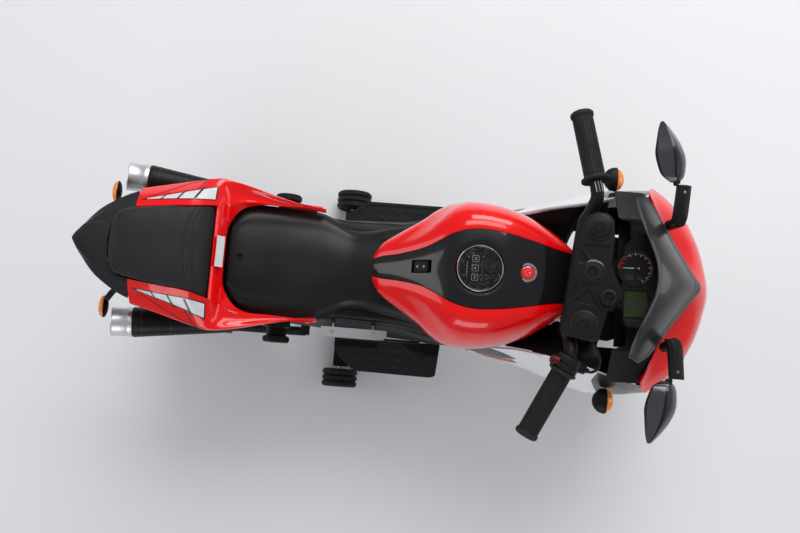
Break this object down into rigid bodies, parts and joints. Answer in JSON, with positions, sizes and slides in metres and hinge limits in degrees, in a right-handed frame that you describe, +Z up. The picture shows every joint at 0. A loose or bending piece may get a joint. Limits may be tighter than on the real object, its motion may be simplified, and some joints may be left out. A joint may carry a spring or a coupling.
{
  "type": "ride-on motorcycle",
  "caption": "Child's battery ride-on motorcycle with turning fork and handlebar, spinning wheels, stabiliser wheels, twist throttle, buttons and folding mirrors.",
  "frame": {"origin": "middle of the bounding box's base, on the ground", "axes": "+X forward, +Y the rider's left, +Z up"},
  "size_m": [1.08, 0.5458, 0.6245],
  "materials": {
    "black_plastic": "moulded satin black",
    "seat_plastic": "smooth satin black",
    "pillion_leather": "leather look, stitched",
    "red_panel": "bright glossy red",
    "gloss_black": "glossy black",
    "grey_satin": "dark grey satin",
    "red_button": "translucent red",
    "smoke_screen": "opaque dark grey satin",
    "clear_lens": "clear lens",
    "amber_lens": "amber lens on a black stalk",
    "exhaust_metal": "silver tip on a matte black can",
    "red_lens": "red lens",
    "wheel_plastic": "hard black plastic",
    "tyre_rubber": "black tyre",
    "rim_silver": "silver-grey wheel",
    "steel": "plain steel",
    "fork_silver": "dark painted fork",
    "grip_rubber": "ribbed rubber",
    "white_panel": "glossy white with graphics",
    "battery_case": "sealed battery case"
  },
  "bodies": {
    "root": {"body_shell_left": "black_plastic", "body_shell_right": "black_plastic", "seat": "seat_plastic", "tail_cowl": "red_panel", "tail_cap": "grey_satin", "pillion_pad": "pillion_leather", "tank_panel_left": "red_panel", "tank_panel_right": "red_panel", "tank_centre": "gloss_black", "media_panel": "gloss_black", "side_fairing_left": "white_panel", "side_fairing_right": "white_panel", "inner_panel_left": "black_plastic", "inner_panel_right": "black_plastic", "nose_cowl": "red_panel", "dash_tray": "black_plastic", "instrument_cluster": "black_plastic", "windshield": "smoke_screen", "headlight_left": "clear_lens", "headlight_right": "clear_lens", "mirror_arm_left": "black_plastic", "mirror_arm_right": "black_plastic", "front_signal_left": "amber_lens", "front_signal_right": "amber_lens", "rear_signal_left": "amber_lens", "rear_signal_right": "amber_lens", "exhaust_left": "exhaust_metal", "exhaust_right": "exhaust_metal", "tail_light": "red_lens", "footboard_left": "gloss_black", "footboard_right": "gloss_black", "training_bar": "black_plastic", "swingarm": "black_plastic", "rear_axle": "steel", "gearbox": "black_plastic", "battery": "battery_case", "steering_head": "black_plastic"},
    "steering": {"fork_crown": "black_plastic", "steering_stem": "black_plastic", "fork_leg_left": "fork_silver", "fork_leg_right": "fork_silver", "front_axle": "steel", "front_mudguard": "black_plastic", "handlebar": "black_plastic", "grip_left": "grip_rubber", "throttle_housing": "black_plastic", "control_cable": "black_plastic"},
    "front_wheel": {"front_rim": "rim_silver", "front_tyre": "tyre_rubber"},
    "rear_wheel": {"rear_rim": "rim_silver", "rear_tyre": "tyre_rubber"},
    "training_wheel_left": {"training_wheel_left": "wheel_plastic"},
    "training_wheel_right": {"training_wheel_right": "wheel_plastic"},
    "throttle": {"throttle_grip": "grip_rubber"},
    "horn": {"horn_button": "red_button"},
    "power": {"power_button": "red_button"},
    "media": {"media_button": "black_plastic"},
    "direction": {"direction_rocker": "black_plastic"},
    "mirror_left": {"mirror_left": "gloss_black"},
    "mirror_right": {"mirror_right": "gloss_black"}
  },
  "joints": [
    {"name": "steering_turn", "type": "hinge", "parent": "root", "child": "steering", "pos_m": [0.295, 0, 0.58], "axis": [-0.2596, 0, 0.9657], "range_deg": [-12.5, 25.5]},
    {"name": "front_wheel_spin", "type": "hinge", "parent": "steering", "child": "front_wheel", "pos_m": [0.42, 0, 0.115], "axis": [0.1093, 0.9936, 0.0294], "continuous": true},
    {"name": "rear_wheel_spin", "type": "hinge", "parent": "root", "child": "rear_wheel", "pos_m": [-0.33, 0, 0.115], "axis": [0, 1, 0], "continuous": true},
    {"name": "training_wheel_left_spin", "type": "hinge", "parent": "root", "child": "training_wheel_left", "pos_m": [-0.097, 0.192, 0.037], "axis": [0, 1, 0], "continuous": true},
    {"name": "training_wheel_right_spin", "type": "hinge", "parent": "root", "child": "training_wheel_right", "pos_m": [-0.097, -0.192, 0.037], "axis": [0, 1, 0], "continuous": true},
    {"name": "throttle_twist", "type": "hinge", "parent": "steering", "child": "throttle", "pos_m": [0.26218, -0.15173, 0.55748], "axis": [-0.405, -0.8878, -0.2186], "range_deg": [0, 40], "stiffness_Nm_per_rad": 0.25},
    {"name": "horn_press", "type": "slide", "parent": "steering", "child": "horn", "axis": [0.994, -0.1093, -0.0016], "range_m": [0, 0.002], "stiffness_N_per_m": 300},
    {"name": "power_press", "type": "slide", "parent": "root", "child": "power", "axis": [0, 0, -1], "range_m": [0, 0.0025], "stiffness_N_per_m": 400},
    {"name": "media_press", "type": "slide", "parent": "root", "child": "media", "axis": [0, 0, -1], "range_m": [0, 0.0012], "stiffness_N_per_m": 400},
    {"name": "direction_tilt", "type": "hinge", "parent": "root", "child": "direction", "pos_m": [0.028, 0, 0.508], "axis": [0, 1, 0], "range_deg": [-8, 8]},
    {"name": "mirror_left_fold", "type": "hinge", "parent": "root", "child": "mirror_left", "pos_m": [0.418, 0.1565, 0.6], "axis": [0, 0, 1], "range_deg": [-10, 50]},
    {"name": "mirror_right_fold", "type": "hinge", "parent": "root", "child": "mirror_right", "pos_m": [0.418, -0.1565, 0.6], "axis": [0, 0, -1], "range_deg": [-10, 50]}
  ]
}
